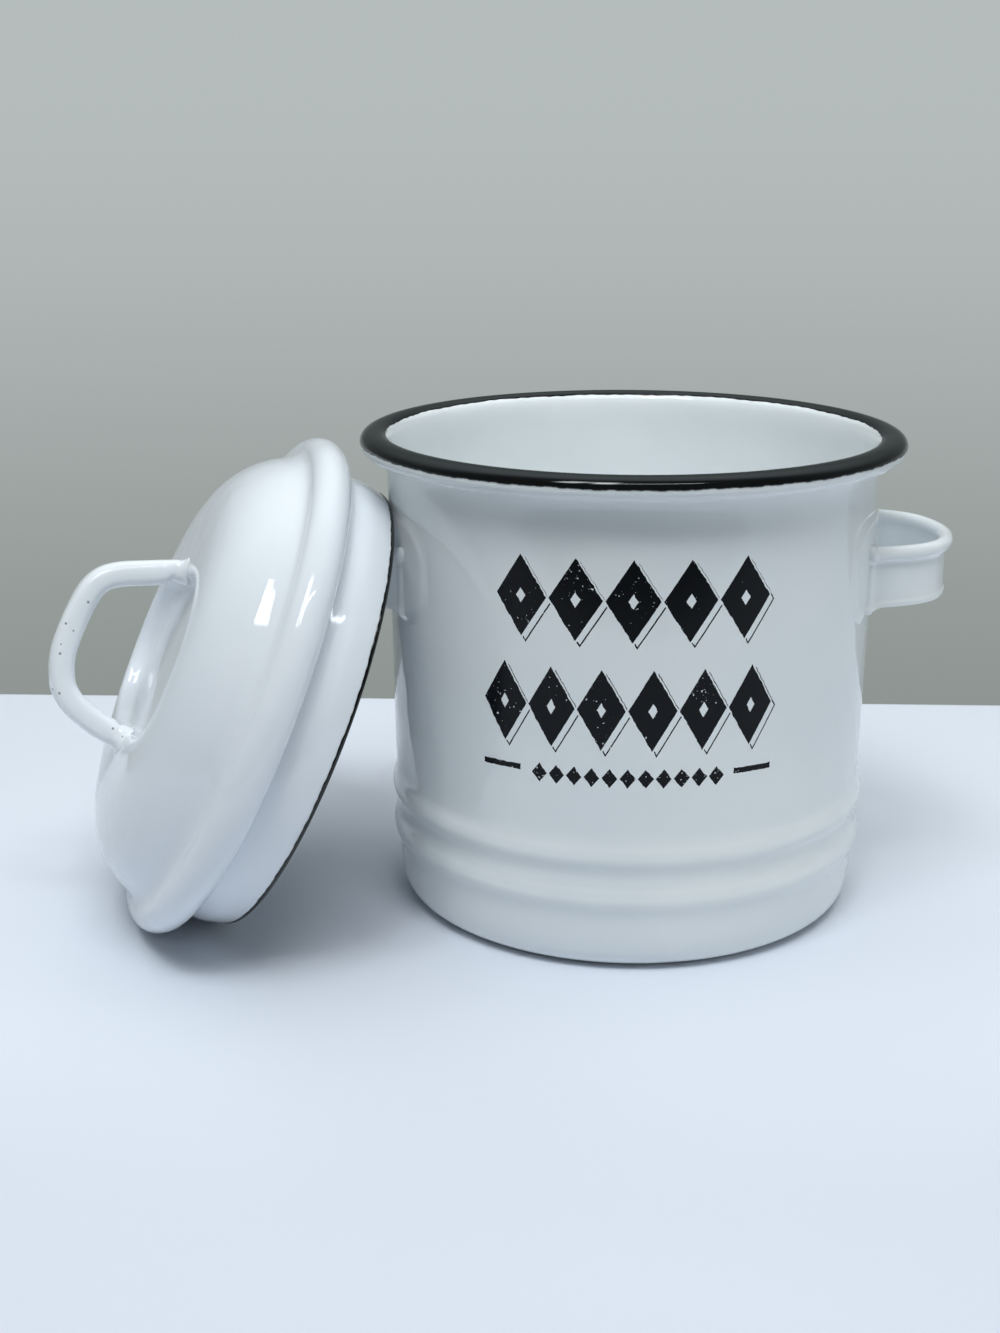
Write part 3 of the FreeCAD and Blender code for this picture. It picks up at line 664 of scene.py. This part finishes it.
# Points of (radius, height): base, corner, lower ring, upper ring, wall.
wall_line = smooth_line([
    (0, 0.6), (20, 0.6), (40, 0.6), (50, 0.55), (53.0, 0.3), (54.6, 0.0), (56.4, 0.15), (58.4, 0.8),
    (60.2, 1.8), (61.5, 3.1), (62.4, 5.0), (62.95, 8.0), (63.2, 11.0), (63.4, 14.2), (63.8, 16.4),
    (64.5, 18.2), (64.95, 20.2), (64.6, 22.3), (64.05, 24.0), (63.8, 25.6), (63.85, 27.2),
    (64.25, 28.7), (64.95, 30.3), (65.2, 31.8), (64.9, 33.6), (64.4, 35.2), (64.1, 37.0),
    (64.2, 42.0), (64.35, 55.0), (64.6, 70.0), (64.85, 85.0), (65.1, 100.0), (65.25, 112.0),
    (65.3, 118.0)], WALL_STEPS)
rim_line = smooth_line([
    (65.3, 118.0), (65.45, 120.6), (65.8, 122.4), (66.4, 123.35), (67.2, 123.75), (67.9, 123.5),
    (69.0, 123.3), (70.2, 123.5), (71.2, 124.1), (72.0, 125.1), (72.25, 126.3), (71.95, 127.5),
    (71.2, 128.35), (70.1, 128.85), (68.9, 129.05), (67.6, 129.05), (66.5, 128.85), (65.6, 128.4),
    (64.9, 127.6), (64.45, 126.4), (64.2, 124.7), (64.1, 122.5), (64.1, 118.0)])
inside_line = side_step(wall_line, SHEET)[::-1]
pot_line = np.vstack([wall_line[1:], rim_line[1:-1], inside_line[:-1]])
pot = skin("pot_enamel", turned_rows(pot_line, AROUND), PRINTED_WHITE,
           start=(0, 0, wall_line[0][1]), end=(0, 0, inside_line[-1][1]))
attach(pot, "pot")
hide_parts("pot_shell")
print("pot stands", round(pot_line[:, 1].max(), 2), "mm tall")

# %% [markdown]
# ## The black edge
#
# After the white has fired, the rim is dipped or brushed with black enamel. The brush leaves
# an edge that wanders by up to half a millimetre. A band of even width would look printed, so the
# band is a thin skin over the rim whose two borders move with a few sine waves round the pot.
# Its outer face swells quickly from the borders, as a bead of melted glass does, and its
# under face lies a little inside the white so that no light gets between.

# %% Borders that wander
# How many waves go round the pot, and how high each is.
OUTER_WAVES = [(9, 0.06), (23, 0.06), (61, 0.05), (97, 0.05), (173, 0.04), (331, 0.03)]
INNER_WAVES = [(2, 0.10), (5, 0.10), (13, 0.09), (29, 0.07), (71, 0.05), (113, 0.05)]
OUTER_SEED, INNER_SEED = 3, 8
BAND_AROUND = 1440


def wander(angle, waves, seed):
    """A number that changes smoothly and irregularly round the pot."""
    draw = np.random.default_rng(seed)
    total = np.zeros_like(angle)
    for count, size in waves:
        total += size * np.sin(count * angle + draw.uniform(0, 2 * math.pi))
    return total


band_angles = np.linspace(0, 2 * math.pi, BAND_AROUND, endpoint=False)
outer_wander = wander(band_angles, OUTER_WAVES, OUTER_SEED)
inner_wander = wander(band_angles, INNER_WAVES, INNER_SEED)
print("outer border wanders by", round(np.abs(outer_wander).max(), 2), "mm")

# %% Rim band
BAND_OUTER_EDGE = (72.2, 126.6)
BAND_INNER_EDGE = (65.5, 128.35)
BAND_ROWS = 19
BAND_GAUGE, BAND_LIFT, BAND_SINK = 0.25, 0.01, 0.15
BAND_SHOULDER = 0.35


def at_length(line, lengths, wanted):
    """Points of the line at the lengths wanted."""
    return np.stack([np.interp(wanted, lengths, line[:, k]) for k in range(line.shape[1])], -1)


rim_run = line_lengths(rim_line)
outer_edge, inner_edge = (rim_run[np.argmin(np.linalg.norm(rim_line - edge, axis=1))]
                          for edge in (BAND_OUTER_EDGE, BAND_INNER_EDGE))
outer_border = outer_edge + outer_wander
inner_border = inner_edge + inner_wander
half_turn = np.linspace(0, math.pi, BAND_ROWS)
rim_out = side_step(rim_line, -1.0) - rim_line
band_top, band_under = [], []
band_shares = (1 - np.cos(half_turn)) / 2
band_lifts = np.sin(half_turn) ** BAND_SHOULDER * BAND_GAUGE
for share, lift in zip(band_shares, band_lifts):
    wanted = outer_border + (inner_border - outer_border) * share
    spot = at_length(rim_line, rim_run, wanted)
    out = at_length(rim_out, rim_run, wanted)
    for rows, distance in ((band_top, lift + BAND_LIFT), (band_under, -BAND_SINK)):
        radius, height = (spot + out * distance).T
        rows.append(ring(radius, band_angles, height))
band = skin("rim_black", band_top + band_under[::-1], BLACK, closed_rows=True)
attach(band, "pot")
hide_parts("rim_band")

# %% [markdown]
# ## Ear plates
#
# Each ear sits on a patch plate that is bent to the wall and spot welded. On the real pot the
# enamel runs into the corner between plate and wall, so the plate has no sharp edge. The
# plate is drawn flat as loops inside one another, each with its own inset and its own height
# over the wall, and then wrapped on the wall. Its first loop lies under the surface, and its
# first and last are zipped up. The left plate is the right one in a mirror.

# %% Plates
PLATE_LOW, PLATE_TOP = 84.0, 109.5
PLATE_HALF, PLATE_CORNER = 36.6, 10.5
PLATE_BULGE = 0.03
WALL_FROM = 11.0

# The loops' insets and their heights over the wall, from the hidden one to the middle.
PLATE_STEPS = [(1.4, -0.5), (-1.5, -0.12), (-1.15, 0.01), (-0.7, 0.08), (-0.3, 0.19), (0.05, 0.33),
               (0.4, 0.46), (0.8, 0.56), (1.4, 0.62), (2.2, 0.64), (4.3, 0.64)]
EAR_SIDES = {"right": 1, "left": -1}
CORNER_POINTS, SHORT_POINTS, LONG_POINTS = 10, 4, 24


def round_box(half_long, half_tall, corner):
    """A loop round a box with round corners, the same on both sides of its long middle line."""
    quarter = []
    flat_long, flat_tall = half_long - corner, half_tall - corner
    for q in np.linspace(0, flat_tall, SHORT_POINTS, endpoint=False):
        quarter.append((half_long, q))
    for bend in np.linspace(0, math.pi / 2, CORNER_POINTS, endpoint=False):
        quarter.append((flat_long + corner * math.cos(bend), flat_tall + corner * math.sin(bend)))
    for p in np.linspace(flat_long, 0, LONG_POINTS, endpoint=False):
        quarter.append((p, half_tall))
    quarter = np.array(quarter)
    half = np.vstack([quarter, [(0, half_tall)], quarter[::-1] * (-1, 1)])
    return np.vstack([half, (half[::-1] * (1, -1))[1:-1]])


def wall_radius(height):
    """The pot's outer radius, above the corner of its base."""
    above = wall_line[wall_line[:, 1] > WALL_FROM]
    return np.interp(height, above[:, 1], above[:, 0])


def mirrored(rows):
    """The same rows on the other side of the pot, with the loops turned to keep faces outward."""
    return np.array(rows)[:, ::-1] * (-1, 1, 1)


plate_middle = (PLATE_LOW + PLATE_TOP) / 2
plate_rows = []
for inset, lift in PLATE_STEPS:
    half_tall = (PLATE_TOP - PLATE_LOW) / 2 - inset
    loop = round_box(PLATE_HALF - inset, half_tall, PLATE_CORNER - abs(inset))
    if (inset, lift) in (PLATE_STEPS[0], PLATE_STEPS[-1]):
        loop[:, 0] *= 1 + PLATE_BULGE * (1 - (loop[:, 1] / half_tall) ** 2)
    height = plate_middle + loop[:, 1]
    radius = wall_radius(height) + lift
    angle = np.arcsin(loop[:, 0] / (wall_radius(plate_middle) + 1))
    plate_rows.append(ring(radius, angle, height))
for side, sign in EAR_SIDES.items():
    rows = plate_rows if sign > 0 else mirrored(plate_rows)
    plate = skin(f"{side}_ear_plate_enamel", rows, EAR_WHITE, start=ZIP, end=ZIP)
    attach(plate, "pot")
    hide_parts(f"{side}_ear_plate")

# %% [markdown]
# ## Ear loops
#
# The ears are straps bent to a loop, with the top edge rolled outwards so that they are kind
# to the fingers. The section of the strap is carried along the plan of the loop. Near the
# plate the section swells and its foot runs down, which is how the weld looks under enamel:
# each of these fades over a millimetre or two of free strap.

# %% Path and section of the strap
EAR_LOW = 86.0
EAR_ROOT = 65.0
STRAP_HALF, STRAP_TALL = 0.62, 16
EAR_STEPS, STRAP_STEPS = 8, 3
ear_half = [(59.6, 25.1), (62.5, 24.4), (65.5, 23.9), (69.0, 23.0), (72.5, 21.6), (76.0, 19.6),
            (79.3, 16.5), (81.8, 12.3), (83.5, 7.0), (84.3, 2.2)]
ear_path = smooth_line(ear_half + [(x, -y) for x, y in ear_half[::-1]], EAR_STEPS)[::-1]
strap = smooth_line([
    (-0.62, 7.0), (-0.68, 10.8), (-0.95, 12.4), (-1.35, 13.7), (-1.3, 14.9), (-0.7, 15.85),
    (0.2, 16.25), (1.1, 16.15), (1.95, 15.6), (2.4, 14.7), (2.35, 13.7), (1.95, 13.0), (1.4, 12.6),
    (0.95, 12.25), (0.7, 11.6), (0.62, 10.2), (0.62, 7.0), (0.62, 2.6), (0.72, 1.9), (0.98, 1.35),
    (1.0, 0.7), (0.7, 0.18), (0.15, 0.0), (-0.36, 0.2), (-0.58, 0.8), (-0.62, 1.8)],
    STRAP_STEPS, closed=True)
ear_run = line_lengths(ear_path)
ear_along = np.gradient(ear_path, axis=0)
ear_out = np.stack([-ear_along[:, 1], ear_along[:, 0]], 1)
ear_out /= np.linalg.norm(ear_out, axis=1)[:, None]
ear_out *= np.sign(ear_out[len(ear_out) // 2, 0])
print("strap", round(ear_run[-1], 1), "mm long,", len(strap), "points in its section")

# %% Loops
WELD_HIDDEN = 1.4
SWELL, SWELL_FADE = 1.3, 0.45
SINK, SINK_FADE, SINK_BEND = 1.7, 1.5, 1.2
HEAD, HEAD_FADE = 0.4, 0.6

up_strap = (strap[:, 1] / STRAP_TALL).clip(0, 1)
down_strap = (1 - strap[:, 1] / STRAP_TALL).clip(0, 1)
ear_rows = []
for spot, out, run in zip(ear_path, ear_out, ear_run):
    reach = min(run, ear_run[-1] - run)
    free = max(reach - WELD_HIDDEN, 0)
    thicker = SWELL * math.exp(-free / SWELL_FADE)
    sink = SINK * math.exp(-(free / SINK_FADE) ** SINK_BEND) * down_strap
    head = HEAD * math.exp(-free / HEAD_FADE) * up_strap
    side = strap[:, 0] + np.clip(strap[:, 0], -STRAP_HALF, STRAP_HALF) * thicker
    height = EAR_LOW + strap[:, 1] - sink + head
    ear_rows.append(np.stack([spot[0] + out[0] * side, spot[1] + out[1] * side, height], 1))
for row in (ear_rows[0], ear_rows[-1]):
    row[:, :2] *= EAR_ROOT / np.linalg.norm(row[:, :2], axis=1)[:, None]
for side, sign in EAR_SIDES.items():
    rows = np.array(ear_rows) if sign > 0 else mirrored(ear_rows)
    loop = skin(f"{side}_ear_loop_enamel", rows, EAR_WHITE,
                start=rows[0].mean(0), end=rows[-1].mean(0))
    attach(loop, "pot")
    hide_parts(f"{side}_ear_loop")

# %% [markdown]
# ## The leaning lid
#
# The lid stands on its bead and leans on the pot. All its pieces are drawn as if it lay flat,
# cut edge down and crown up. One matrix turns them, first about the lid's own axis, then by
# the lean and by the swing round the pot, and a shift puts them in place.

# %% Place of the lid
LID_LEAN = 24.28
LID_SWING = 12.61
LID_ROLL = 14.0
LID_PLACE = (-89.714, -13.512, 55.959)
lid_turn = (Matrix.Rotation(math.radians(LID_SWING - 90), 3, "Z")
            @ Matrix.Rotation(math.radians(90 - LID_LEAN), 3, "X")
            @ Matrix.Rotation(math.radians(LID_ROLL), 3, "Z"))


def on_lid(rows):
    """Rows drawn on the flat lid, moved to the leaning lid."""
    return np.array(rows) @ np.array(lid_turn).T + LID_PLACE


print("lid's crown faces", [round(value, 3) for value in lid_turn.col[2]])

# %% [markdown]
# ## Lid shell
#
# The lid is one pressing too: a skirt that drops into the mouth, a fat bead that sits on the
# rim, a notch, a dome, and an oval finger recess under the handle. Skirt, bead, notch and
# dome are turned, and bead and dome are plain arcs. The crown of the dome is almost flat, so
# `dome_height` gives it a slight rise of its own.

# %% Turned part of the lid
# The arcs of bead and dome: how far out and how high their middle is, and their radius.
BEAD = (64.1, 18.9, 5.3)
DOME = (37.5, 15.8, 26.0)
BEAD_START, BEAD_STOP = -120, 76
BEAD_POINTS, DOME_POINTS = 42, 26
CROWN_RISE = 0.35
NOTCH_TOP = (60.3, 28.15)
DOME_CLEAR, DOME_STOP = 2.5, 66


def dome_height(radius):
    """Height of the lid's outer face over the cut edge, from the crown to the notch."""
    past = np.clip(radius - DOME[0], 0, DOME[2])
    arc = DOME[1] + np.sqrt(DOME[2] ** 2 - past ** 2)
    return arc + CROWN_RISE * (1 - np.clip(radius / DOME[0], 0, 1) ** 2)


def on_circle(circle, first, last, count):
    """Points on a circle of (middle, height, radius), from one angle in degrees to another."""
    bend = np.radians(np.linspace(first, last, count))
    return np.stack([circle[0] + circle[2] * np.cos(bend), circle[1] + circle[2] * np.sin(bend)], 1)


skirt = smooth_line([(61.0, 0), (61.55, 1.6), (62.1, 4.0), (62.45, 6.6), (62.3, 9.2), (61.75, 11.4),
                     (61.35, 13.0), (61.55, 14.3)])
bead = on_circle(BEAD, BEAD_START, BEAD_STOP, BEAD_POINTS)
# The first span of the notch lies on the bead and only gives it its direction.
notch = smooth_line([bead[-2], bead[-1], (64.1, 24.3), (62.8, 24.9), (61.6, 26.1), NOTCH_TOP])
notch = notch[SPAN_STEPS:]
dome_start = math.degrees(math.asin((NOTCH_TOP[1] - DOME[1]) / DOME[2]))
dome = on_circle(DOME, dome_start + DOME_CLEAR, DOME_STOP, DOME_POINTS)
lid_line = np.vstack([skirt, bead[2:-1], notch, dome])
lid_rows = list(turned_rows(lid_line, AROUND))
bead_across = round(2 * lid_line[:, 0].max(), 1)
print("lid turned from", len(lid_line), "points,", bead_across, "mm across its bead")

# %% [markdown]
# ## Finger recess
#
# The recess isn't round: it is an oval with two straight sides. So the crown is made of loops
# that change step by step from the circle of the dome to the oval, go over the lip and down
# the wall to the floor, and then shrink to a point. Each loop has one point for each
# direction, so they all join up. A Solidify modifier gives the sheet its thickness, so the
# hollow side is real as well.

# %% Crown and recess
RECESS_HALF, RECESS_END = 21.6, 17.6
RECESS_DEPTH = 5.2
LIP = -2.6

# Insets from the oval and drops under the crown, from the lip to the floor.
RECESS_STEPS = [(LIP, 0.0), (-1.9, 0.05), (-1.3, 0.2), (-0.8, 0.45), (-0.4, 0.8), (-0.1, 1.25),
                (0.1, 1.8), (0.3, 2.5), (0.5, 3.2), (0.75, 3.85), (1.1, 4.4), (1.6, 4.8),
                (2.3, 5.05), (3.3, 5.2)]
CIRCLE_TO_LIP = (0.2, 0.42, 0.64, 0.84)
FLOOR_SHARES = (0.72, 0.45, 0.2)
TINY = 1e-9

sweep = np.linspace(0, 2 * math.pi, AROUND, endpoint=False)


def oval(inset):
    """The recess's outline, moved in by an inset, with one point for each direction."""
    radius = RECESS_HALF - inset
    reach_side = radius / np.maximum(np.abs(np.sin(sweep)), TINY)
    straight = reach_side * np.abs(np.cos(sweep)) <= RECESS_END
    along = np.abs(np.cos(sweep)) * RECESS_END
    reach_end = along + np.sqrt(np.maximum(radius ** 2 - (RECESS_END * np.sin(sweep)) ** 2, 0))
    reach = np.where(straight, reach_side, reach_end)
    return np.stack([reach * np.cos(sweep), reach * np.sin(sweep)], 1)


def crown_row(loop, drop):
    """A loop laid on the crown and lowered by a drop."""
    return np.column_stack([loop, dome_height(np.linalg.norm(loop, axis=1)) - drop])


circle = np.stack([np.cos(sweep), np.sin(sweep)], 1) * lid_line[-1][0]
for share in CIRCLE_TO_LIP:
    lid_rows.append(crown_row(circle + (oval(LIP) - circle) * share, 0))
for inset, drop in RECESS_STEPS:
    row = crown_row(oval(inset), drop)
    levelling = dome_height(0) - dome_height(np.linalg.norm(oval(inset), axis=1))
    row[:, 2] += drop / RECESS_DEPTH * levelling
    lid_rows.append(row)
floor_height = dome_height(0) - RECESS_DEPTH
for share in FLOOR_SHARES:
    floor_loop = oval(RECESS_STEPS[-1][0]) * share
    lid_rows.append(np.column_stack([floor_loop, np.full(AROUND, floor_height)]))
lid = skin("lid_enamel", on_lid(lid_rows), LID_WHITE, end=on_lid([(0, 0, floor_height)])[0])
gauge = lid.modifiers.new("sheet", "SOLIDIFY")
gauge.thickness = SHEET * MM
gauge.offset = -1
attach(lid, "lid")
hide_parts("lid_shell")

# %% [markdown]
# ## Black line on the cut edge
#
# The skirt's cut edge is dipped in black like the rim. Only a millimetre shows, so a closed
# ring that wraps the edge is enough. Its section has an outer and an inner side, whose
# heights wander round the lid, and an under side, which stays as it is.

# %% Lid edge
OUTSIDE, UNDER, INSIDE = "outside", "under", "inside"

# Points of (radius, height, side) round the section of the line.
EDGE_SECTION = [
    (61.05, 1.0, OUTSIDE), (61.5, 0.8, OUTSIDE), (61.42, 0.35, OUTSIDE), (61.2, -0.05, UNDER),
    (60.85, -0.25, UNDER), (60.4, -0.32, UNDER), (59.95, -0.25, UNDER), (59.65, 0.0, UNDER),
    (59.6, 0.4, INSIDE), (59.75, 0.9, INSIDE), (60.2, 1.0, INSIDE)]
EDGE_TALL, EDGE_INNER_TALL = 0.95, 1.2
SKIRT_OPENS, SKIRT_FROM = 0.30, 0.8
EDGE_OUTER_WAVES = [(3, 0.08), (11, 0.08), (31, 0.07), (67, 0.06), (131, 0.05)]
EDGE_INNER_WAVES = [(2, 0.15), (9, 0.1), (27, 0.08)]
EDGE_OUTER_SEED, EDGE_INNER_SEED = 21, 22
EDGE_AROUND = 720

edge_angles = np.linspace(0, 2 * math.pi, EDGE_AROUND, endpoint=False)
stretch = {OUTSIDE: EDGE_TALL + wander(edge_angles, EDGE_OUTER_WAVES, EDGE_OUTER_SEED),
           UNDER: np.ones_like(edge_angles),
           INSIDE: EDGE_INNER_TALL + wander(edge_angles, EDGE_INNER_WAVES, EDGE_INNER_SEED)}
edge_rows = []
for radius, height, side in EDGE_SECTION:
    tall = height * stretch[side]
    reach = radius + (SKIRT_OPENS * (tall - SKIRT_FROM) if side == OUTSIDE else 0)
    edge_rows.append(ring(reach, edge_angles, tall))
edge = skin("lid_edge_black", on_lid(edge_rows[::-1]), BLACK, closed_rows=True)
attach(edge, "lid")
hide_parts("lid_edge_band")

# %% [markdown]
# ## Handle
#
# The handle is a flat bar bent to a D and welded across the recess. Its ends are upset to
# small oval feet, and enamel fills the corner round them. One rounded section is carried
# along the bend, whose measured points are first smoothed a little. The rows near the feet
# grow and follow the crown instead of the bar, and where a foot meets the recess its inner
# side hangs over the lip.

# %% Bar
HANDLE_STEPS, HANDLE_SMOOTHING = 8, 10
BAR_THICK, BAR_WIDE = 3.35, 4.5
BAR_SQUARE, BAR_POINTS = 0.72, 40
BAR_RIPPLE, RIPPLE_TURN = 0.12, 0.3

handle_path = smooth_line([
    (22.8, 42.3), (20.7, 47.1), (18.6, 52.0), (16.8, 56.2), (14.4, 59.9), (11.5, 61.9), (8.0, 63.0),
    (3.0, 63.6), (-1.4, 63.7), (-7.0, 63.5), (-12.1, 62.4), (-16.3, 60.4), (-19.2, 57.0),
    (-21.0, 52.8), (-22.5, 48.0), (-23.4, 42.4)], HANDLE_STEPS)
for _ in range(HANDLE_SMOOTHING):
    handle_path[1:-1] = (handle_path[:-2] + 2 * handle_path[1:-1] + handle_path[2:]) / 4
section = np.linspace(0, 2 * math.pi, BAR_POINTS, endpoint=False)
bar_deep = np.sign(np.cos(section)) * np.abs(np.cos(section)) ** BAR_SQUARE * BAR_THICK
bar_side = np.sign(np.sin(section)) * np.abs(np.sin(section)) ** BAR_SQUARE * BAR_WIDE
bar_along = np.gradient(handle_path, axis=0)
bar_along /= np.linalg.norm(bar_along, axis=1)[:, None]
bar_rows = []
for spot, along in zip(handle_path, bar_along):
    deep = bar_deep + BAR_RIPPLE * np.sin(section * 2 + spot[0] * RIPPLE_TURN)
    bar_rows.append(np.stack([bar_side, spot[0] - along[1] * deep, spot[1] + along[0] * deep], 1))
print("bar", 2 * BAR_WIDE, "by", 2 * BAR_THICK, "mm in", len(bar_rows), "rows")

# %% Feet and handle
# Lifts over the crown and how much the section has grown there, from the bar down.
FOOT_STEPS = [(2.3, 1.02), (1.6, 1.08), (1.05, 1.18), (0.65, 1.31), (0.3, 1.46), (0.05, 1.6),
              (-0.5, 1.62)]
FOOT_TALL = FOOT_STEPS[0][0]
FOOT_SHORT = 0.86

# How many waves go round a foot, how far the end turns them, and how high each is.
FOOT_WAVES = [(3, 1, 0.10), (5, 2, 0.08)]
LIP_DROP, LIP_CLEAR, LIP_RUN = 2.0, 1.6, 3.5
BAR_CLEAR, BAR_CLEAR_AT = 2.6, 24


def lip_drop(along):
    """How far the inner side of a foot hangs down over the recess's lip."""
    return LIP_DROP * np.clip((RECESS_HALF + LIP_CLEAR - np.abs(along)) / LIP_RUN, 0, 1)


def foot_rows(row, sign):
    """Rows that spread from the end of the bar to the foot on the crown."""
    middle = row.mean(0)
    away = row - middle
    uneven = np.ones_like(section)
    for count, turns, size in FOOT_WAVES:
        uneven += size * np.sin(count * section + turns * sign)
    rows = []
    for lift, grow in FOOT_STEPS:
        spread = 1 + (grow - 1) * uneven
        point = middle + away * spread[:, None] * (1, FOOT_SHORT, 1)
        inner = np.sign(middle[1]) * point[:, 1] < np.sign(middle[1]) * middle[1]
        held = middle[1] + away[:, 1] * np.minimum(spread, 1.0)
        point[:, 1] = np.where(inner, held, point[:, 1])
        crown = dome_height(np.linalg.norm(point[:, :2], axis=1))
        point[:, 2] = crown + lift - lip_drop(point[:, 1]) * np.clip(1 - lift / FOOT_TALL, 0, 1)
        rows.append(point)
    return rows


first_foot = foot_rows(bar_rows[0], 1.0)[::-1]
last_foot = foot_rows(bar_rows[-1], -1.0)
clear = [row for row in bar_rows if row[:, 2].min() > dome_height(BAR_CLEAR_AT) + BAR_CLEAR]
handle_rows = on_lid(first_foot + clear + last_foot)
handle = skin("lid_handle_enamel", handle_rows, HANDLE_WHITE,
              start=handle_rows[0].mean(0), end=handle_rows[-1].mean(0))
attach(handle, "lid")
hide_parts("lid_handle")

# %% [markdown]
# ## View transform
#
# The finer meshes have to stay as large as the engineering model, whose boxes are printed
# when it is loaded. The Standard view transform shows a colour as it was mixed, with no film
# look on top, which suits a white object on a pale table.

# %% The last line
bpy.context.scene.view_settings.view_transform = "Standard"
